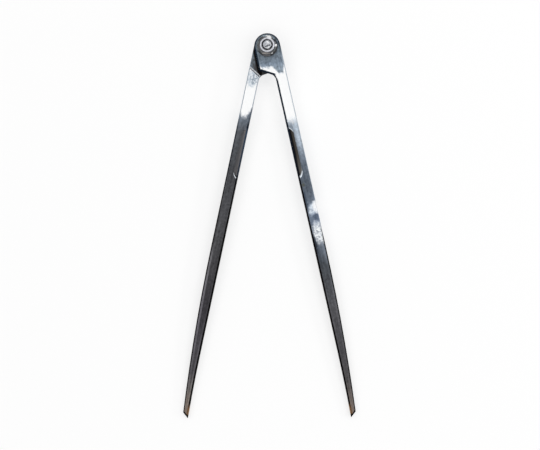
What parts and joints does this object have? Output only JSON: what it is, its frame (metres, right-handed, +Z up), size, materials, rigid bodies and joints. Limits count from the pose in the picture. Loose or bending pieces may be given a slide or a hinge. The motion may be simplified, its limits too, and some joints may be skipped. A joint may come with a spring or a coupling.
{
  "type": "steel compass",
  "caption": "Straight-legged steel dividers with a half-lapped round head, a clamped friction pivot and bevelled points, for scribing and stepping off distances.",
  "frame": {"origin": "middle of the bolt head's flat end face, on the pivot axis", "axes": "+Y from the points towards the head, +X towards the right leg, +Z up: the dividers lie on the rim of the bolt head and on their two tips, so the pivot axis leans 1.8 degrees from +Z towards -Y"},
  "size_m": [0.1316, 0.2931, 0.0256],
  "materials": {
    "leg_steel": "ground and blued, with heat-tinted tips",
    "bolt_zinc": "dull zinc plate",
    "washer_zinc": "dull zinc plate",
    "nut_zinc": "bright zinc plate",
    "ring_nylon": "dark nylon"
  },
  "bodies": {
    "left_side": {"left_leg": "leg_steel", "pivot_bolt": "bolt_zinc", "back_washer": "washer_zinc", "front_washer": "washer_zinc", "lock_nut": "nut_zinc", "lock_ring": "ring_nylon"},
    "right_side": {"right_leg": "leg_steel"}
  },
  "joints": [
    {"name": "leg_spread", "type": "hinge", "parent": "left_side", "child": "right_side", "pos_m": [0, -0.00033, 0.01089], "axis": [0, -0.0307, 0.9995], "range_deg": [-24.7, 155.2]}
  ]
}
